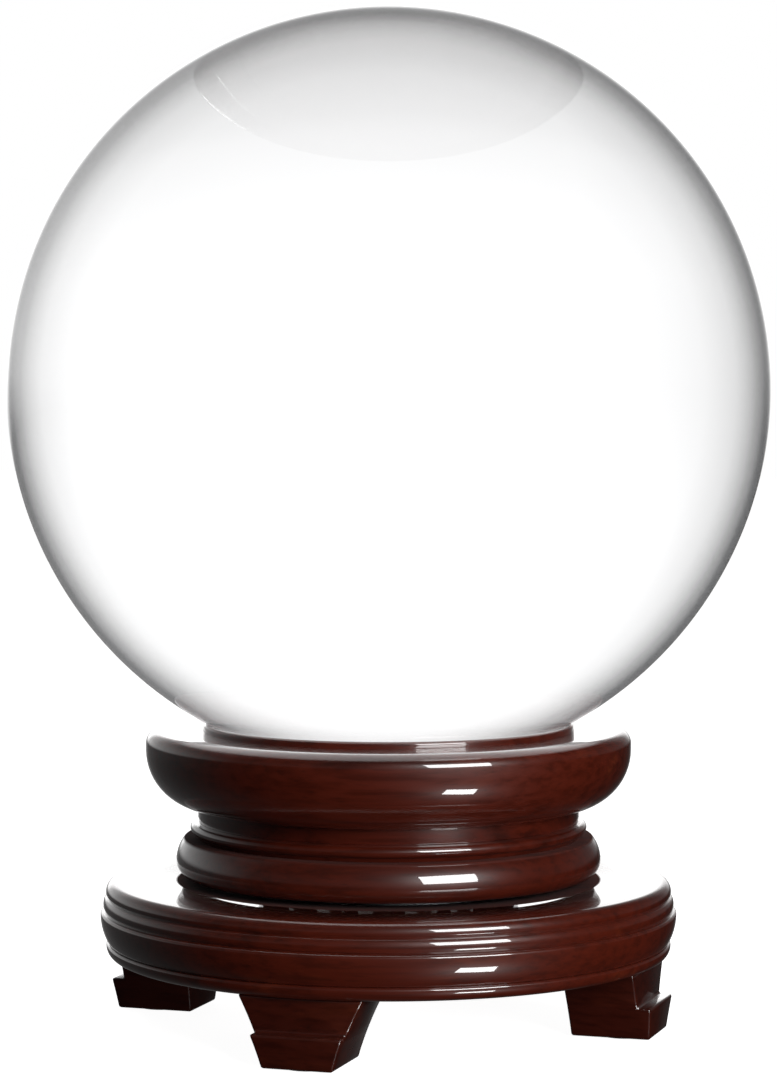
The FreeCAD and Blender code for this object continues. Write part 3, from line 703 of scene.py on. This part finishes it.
class CRYSTAL_OT_feet(bpy.types.Operator):
    """Model the four stepped feet and the pads under them"""

    bl_idname = "crystal.feet"
    bl_label = "Feet and Pads"

    def execute(self, context):
        sizes = context.scene.crystal_feet
        low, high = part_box("foot_right")
        foot = self.model_foot(context, sizes, low, high)
        wood = wood_for(context, "feet")
        for side, piece in zip(FOOT_SIDES, quarter_copies(foot, self.names("foot", "carved"))):
            finish_piece(piece, f"foot_{side}", wood)

        pad = self.model_pad(context, low.z)
        finish = context.scene.crystal_finish
        rubber = plain_grained("pad_rubber", finish.rubber, 0.8,
                               (1400.0, 1400.0, 1400.0), 0.4)
        for side, piece in zip(FOOT_SIDES, quarter_copies(pad, self.names("foot_pad", "moulded"))):
            finish_piece(piece, f"foot_pad_{side}", rubber)
        return {"FINISHED"}

    @staticmethod
    def names(stem, finish):
        return [f"{stem}_{side}_{finish}" for side in FOOT_SIDES]

    @staticmethod
    def model_foot(context, sizes, low, high):
        """A tapered shank with hollowed sides and a stepped toe, pointing to +X."""
        start_clean()
        depth = sizes.shank_radius - sizes.inner_bottom
        height = high.z - low.z
        top_half_width = high.y
        bpy.ops.mesh.primitive_cube_add(size=1.0, location=(0.0, 0.0, 0.0))
        foot = context.object
        foot.dimensions = (depth, 2 * sizes.bottom_half_width, height)
        foot.location = (sizes.inner_bottom + depth / 2, 0.0, low.z + height / 2)
        bpy.ops.object.transform_apply(location=True, rotation=True, scale=True)
        bpy.ops.object.mode_set(mode="EDIT")
        levels = [low.z + height * share_up for share_up in (0.14, 0.28, 0.40)]
        levels += [sizes.toe_height]
        levels += [sizes.toe_height + (high.z - sizes.toe_height) * up for up in (0.25, 0.5, 0.75)]
        for level in levels:
            bpy.ops.mesh.select_all(action="SELECT")
            bpy.ops.mesh.bisect(plane_co=(0.0, 0.0, level), plane_no=AXIS)
        bpy.ops.object.mode_set(mode="OBJECT")
        for face in foot.data.polygons:
            face.select = face.normal.x > 0.9 and face.center.z < sizes.toe_height
        bpy.ops.object.mode_set(mode="EDIT")
        bpy.ops.mesh.select_mode(type="FACE")
        toe_reach = high.x - sizes.shank_radius
        bpy.ops.mesh.extrude_region_move(
            TRANSFORM_OT_translate={"value": (toe_reach, 0.0, 0.0)})
        mesh = bmesh.from_edit_mesh(foot.data)
        for vertex in mesh.verts:
            up = (vertex.co.z - low.z) / height
            straight = sizes.bottom_half_width + (top_half_width - sizes.bottom_half_width) * up
            half_width = straight - sizes.side_hollow * 4 * up * (1 - up)
            vertex.co.y = math.copysign(half_width, vertex.co.y)
            if vertex.co.x < (sizes.inner_bottom + sizes.shank_radius) / 2:
                vertex.co.x += (sizes.inner_top - sizes.inner_bottom) * up
            if vertex.co.x > high.x - 0.1 * MM:
                toe_up = (vertex.co.z - low.z) / (sizes.toe_height - low.z)
                vertex.co.x = sizes.toe_bottom + (high.x - sizes.toe_bottom) * toe_up
        bmesh.update_edit_mesh(foot.data)
        bpy.ops.mesh.select_all(action="SELECT")
        bpy.ops.mesh.normals_make_consistent(inside=False)
        bpy.ops.object.mode_set(mode="OBJECT")
        round_edges(foot, sizes.edge_round, segments=3, angle=math.radians(30.0))
        return foot

    @staticmethod
    def model_pad(context, thickness):
        """A thin round pad with a soft rim and a shallow dimple, under the foot at +X."""
        start_clean()
        low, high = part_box("foot_pad_right")
        centre = (low + high) / 2
        bpy.ops.mesh.primitive_cylinder_add(vertices=64, radius=(high.x - low.x) / 2,
                                            depth=thickness, location=centre)
        pad = context.object
        bpy.ops.object.transform_apply(location=True, rotation=True, scale=True)
        bpy.ops.object.mode_set(mode="EDIT")
        bpy.ops.mesh.select_mode(type="FACE")
        bpy.ops.mesh.select_all(action="DESELECT")
        mesh = bmesh.from_edit_mesh(pad.data)
        for face in mesh.faces:
            face.select = face.normal.z < -0.9
        bmesh.update_edit_mesh(pad.data)
        bpy.ops.mesh.inset(thickness=1.2 * MM, depth=0.0)
        bpy.ops.mesh.inset(thickness=0.4 * MM, depth=-0.15 * MM)
        bpy.ops.object.mode_set(mode="OBJECT")
        round_edges(pad, 0.2 * MM, segments=3)
        return pad


class CRYSTAL_OT_hidden_parts(bpy.types.Operator):
    """Finish the bearing, its fasteners and the dowels"""

    bl_idname = "crystal.hidden_parts"
    bl_label = "Bearing and Fasteners"

    def execute(self, context):
        finish = context.scene.crystal_finish
        finishes = {
            "plated_steel": plated_steel(finish),
            "bearing_steel": plated_steel(finish, "bearing_steel", 0.08, (0.62, 0.62, 0.63)),
            "nylon": plain_grained("nylon", finish.nylon, 0.5, (500.0, 500.0, 500.0), 0.1),
            "dowel_wood": plain_grained("dowel_wood", finish.dowel, 0.65,
                                        (700.0, 700.0, 60.0), 0.3),
        }
        for subpart in frame["record"]["subparts"]:
            material = finishes.get(subpart["material_slot"])
            if material is None:
                continue
            node = frame["nodes"][subpart["node"]]
            node.data.materials.clear()
            node.data.materials.append(material)
        return {"FINISHED"}


def studio_light(tree, tone, strength):
    """A background of one tone."""
    node = tree.nodes.new("ShaderNodeBackground")
    node.inputs["Strength"].default_value = strength
    tree.links.new(tone, node.inputs["Color"])
    return node.outputs["Background"]


def mix_light(tree, factor, first, second):
    """Chooses between two backgrounds."""
    node = tree.nodes.new("ShaderNodeMixShader")
    tree.links.new(factor, node.inputs["Fac"])
    tree.links.new(first, node.inputs[1])
    tree.links.new(second, node.inputs[2])
    return node.outputs["Shader"]


class CRYSTAL_OT_stage(bpy.types.Operator):
    """Set up the camera, the floor, the backdrop and the soft lights"""

    bl_idname = "crystal.stage"
    bl_label = "Stage"

    def execute(self, context):
        settings = context.scene.crystal_stage
        self.place_camera(context, settings)
        self.lay_floor(context, settings)
        self.light_backdrop(context, settings)
        self.place_lights(context, settings)
        context.scene.view_settings.view_transform = "Standard"
        context.scene.view_settings.look = "None"
        return {"FINISHED"}

    @staticmethod
    def place_camera(context, settings):
        data = bpy.data.cameras.new("camera")
        data.lens = settings.lens
        data.sensor_width = 36.0
        data.clip_start = 0.01
        data.clip_end = 50.0
        camera = bpy.data.objects.new("camera", data)
        context.scene.collection.objects.link(camera)
        turn, pitch = settings.camera_azimuth, settings.camera_pitch
        camera.location = (math.sin(turn) * settings.camera_distance,
                           -math.cos(turn) * settings.camera_distance, settings.camera_height)
        forward = Vector((-math.sin(turn) * math.cos(pitch), math.cos(turn) * math.cos(pitch),
                          -math.sin(pitch)))
        camera.rotation_euler = forward.to_track_quat("-Z", "Y").to_euler()
        context.scene.camera = camera

    @staticmethod
    def lay_floor(context, settings):
        start_clean()
        bpy.ops.mesh.primitive_plane_add(size=settings.floor_size, location=(0.0, 0.0, 0.0))
        floor = context.object
        floor.name = floor.data.name = "floor"
        material, tree, shader = new_material("pale_floor")
        speckle = noise(tree, placed(tree), 140.0)
        tree.links.new(ramp(tree, speckle, [(0.3, grey(0.86)), (0.7, grey(0.90))]),
                       shader.inputs["Base Color"])
        shader.inputs["Roughness"].default_value = 0.9
        shader.inputs["Emission Color"].default_value = (1.0, 1.0, 1.0, 1.0)
        shader.inputs["Emission Strength"].default_value = settings.floor_glow
        floor.data.materials.append(material)
        floor.visible_glossy = False
        floor.visible_diffuse = False
        floor.visible_transmission = False
        floor.visible_shadow = False

    @staticmethod
    def light_backdrop(context, settings):
        """A white cyclorama: even where it is seen through the glass, dim in front and below."""
        world = bpy.data.worlds.new("studio")
        world.use_nodes = True
        context.scene.world = world
        tree = world.node_tree
        tree.nodes.clear()
        output = tree.nodes.new("ShaderNodeOutputWorld")
        direction = tree.nodes.new("ShaderNodeTexCoord")
        turned = tree.nodes.new("ShaderNodeMapping")
        turned.inputs["Rotation"].default_value = (0.0, 0.0, -settings.camera_azimuth)
        parts = tree.nodes.new("ShaderNodeSeparateXYZ")
        tree.links.new(direction.outputs["Generated"], turned.inputs["Vector"])
        tree.links.new(turned.outputs["Vector"], parts.inputs["Vector"])
        across, behind, up = (
            scaled(tree, parts.outputs[name], 0.0, 1.0, -1.0) for name in ("X", "Y", "Z"))

        through = ramp(tree, up, [
            (0.00, grey(0.57)), (0.03, grey(0.55)), (0.055, grey(0.70)), (0.105, grey(0.66)),
            (0.146, grey(0.67)), (0.185, grey(0.71)), (0.235, grey(0.76)), (0.26, grey(0.805)),
            (0.335, grey(0.87)), (0.385, grey(0.90)), (0.50, grey(0.90)), (0.65, grey(0.96)),
            (0.80, grey(1.0)),
        ])
        shaded = ramp(tree, across, [
            (0.00, grey(0.74)), (0.09, grey(0.80)), (0.15, grey(0.86)), (0.22, grey(0.93)),
            (0.32, grey(1.0)), (0.80, grey(1.0)), (0.90, grey(0.95)), (1.00, grey(0.93)),
        ])
        through = blend(tree, 1.0, through, shaded, "MULTIPLY")
        panels = ramp(tree, behind, [
            (0.00, grey(0.018)), (0.40, grey(0.022)), (0.62, grey(0.12)), (0.90, grey(0.26)),
            (0.965, grey(0.40)), (0.985, grey(1.0))])
        heights = ramp(tree, up, [
            (0.47, grey(0.10)), (0.505, grey(0.85)), (0.53, grey(1.0)), (0.62, grey(0.8)),
            (0.75, grey(0.35)), (1.00, grey(0.45)),
        ])
        sides = ramp(tree, across, [
            (0.00, grey(1.0)), (0.46, grey(1.0)), (0.54, grey(1.0)), (0.64, grey(0.35)),
            (0.76, grey(0.12)),
        ])
        around = blend(tree, 1.0, blend(tree, 1.0, panels, heights, "MULTIPLY"), sides, "MULTIPLY")

        path = tree.nodes.new("ShaderNodeLightPath")
        glass = studio_light(tree, through, settings.backdrop)
        wood = studio_light(tree, around, settings.panels)
        white = tree.nodes.new("ShaderNodeBackground")
        white.inputs["Color"].default_value = (1.0, 1.0, 1.0, 1.0)
        lit = mix_light(tree, path.outputs["Is Transmission Ray"], wood, glass)
        shown = mix_light(tree, path.outputs["Is Camera Ray"], lit, white.outputs["Background"])
        tree.links.new(shown, output.inputs["Surface"])

    @staticmethod
    def place_lights(context, settings):
        """A softbox to the front right, a low kicker under it and a wide panel above."""
        turn = settings.camera_azimuth
        lights = [
            ("softbox", 32.5, 17.0, 0.95, (0.50, 0.38), 6.6, True),
            ("table_bounce", 36.0, -34.0, 0.80, (0.19, 0.12), 0.9, True),
            ("overhead", 180.0, 80.0, 1.30, (1.6, 1.6), 5.0, False),
        ]
        target = Vector((0.0, 0.0, 0.06))
        for name, side, lift, distance, size, power, mirrored in lights:
            data = bpy.data.lights.new(name, "AREA")
            data.shape = "RECTANGLE"
            data.size, data.size_y = size
            data.energy = power
            light = bpy.data.objects.new(name, data)
            context.scene.collection.objects.link(light)
            angle, rise = turn + math.radians(side), math.radians(lift)
            away = Vector((math.sin(angle) * math.cos(rise), -math.cos(angle) * math.cos(rise),
                           math.sin(rise)))
            light.location = target + away * distance
            light.rotation_euler = away.to_track_quat("Z", "Y").to_euler()
            light.visible_camera = False
            light.visible_transmission = False
            light.visible_glossy = mirrored


# How far the bare wood reaches past the drum's bottom edge, on the drum and on the base.
UNDERSIDE_MARGIN = 0.3 * MM
BASE_BARE_MARGIN = 2.2 * MM
# Painted shade: brightness of the base and feet wood as a share of that of the dish and drum,
# darker lower down where less light falls.
BASE_PAINTED_SHADE = 0.95
FEET_PAINTED_SHADE = 0.55


def wood_for(context, piece):
    """The lacquered wood of one blank, made once and shared by what is turned from it."""
    sizes = context.scene.crystal_base
    # Each blank: grain shift, radius inside which the wood is bare, and painted shade factor
    # darkening its colours.
    blanks = {
        "dish": ((0.0, 0.0, 0.0), 0.0, 1.0),
        "drum": ((0.31, 0.12, 0.07), sizes.drum_foot_radius + UNDERSIDE_MARGIN, 1.0),
        "base": ((0.17, -0.23, 0.4), sizes.drum_foot_radius + BASE_BARE_MARGIN, BASE_PAINTED_SHADE),
        "feet": ((0.53, 0.21, 0.2), 0.0, FEET_PAINTED_SHADE),
    }
    name = f"lacquered_wood_{piece}"
    return bpy.data.materials.get(name) or lacquered_wood(
        context.scene.crystal_finish, name, *blanks[piece])


OPERATORS = (
    CRYSTAL_OT_ball,
    CRYSTAL_OT_cradle,
    CRYSTAL_OT_drum_and_base,
    CRYSTAL_OT_feet,
    CRYSTAL_OT_hidden_parts,
    CRYSTAL_OT_stage,
)


class CRYSTAL_PT_panel(bpy.types.Panel):
    """The parts of the crystal ball and its stand"""

    bl_idname = "CRYSTAL_PT_panel"
    bl_label = "Crystal Ball"
    bl_space_type = "VIEW_3D"
    bl_region_type = "UI"
    bl_category = "Crystal Ball"

    def draw(self, context):
        for operator in OPERATORS:
            self.layout.operator(operator.bl_idname)
        for name in SETTINGS:
            box = self.layout.box()
            group = getattr(context.scene, name)
            for prop in group.__annotations__:
                box.prop(group, prop)


SETTINGS = {
    "crystal_ball": CrystalBallSettings,
    "crystal_dish": CradleDishSettings,
    "crystal_base": DrumAndBaseSettings,
    "crystal_feet": FootSettings,
    "crystal_finish": FinishSettings,
    "crystal_stage": StageSettings,
}


def register():
    """Registers the classes and hangs the settings on the scene."""
    for settings in SETTINGS.values():
        bpy.utils.register_class(settings)
    for operator in OPERATORS:
        bpy.utils.register_class(operator)
    bpy.utils.register_class(CRYSTAL_PT_panel)
    for name, settings in SETTINGS.items():
        setattr(bpy.types.Scene, name, PointerProperty(type=settings))


def unregister():
    """Removes what register added."""
    for name in SETTINGS:
        delattr(bpy.types.Scene, name)
    bpy.utils.unregister_class(CRYSTAL_PT_panel)
    for operator in reversed(OPERATORS):
        bpy.utils.unregister_class(operator)
    for settings in reversed(list(SETTINGS.values())):
        bpy.utils.unregister_class(settings)


def main():
    """Builds the whole object and its stage."""
    register()
    bpy.ops.crystal.ball()
    bpy.ops.crystal.cradle()
    bpy.ops.crystal.drum_and_base()
    bpy.ops.crystal.feet()
    bpy.ops.crystal.hidden_parts()
    bpy.ops.crystal.stage()


if __name__ == "__main__":
    main()
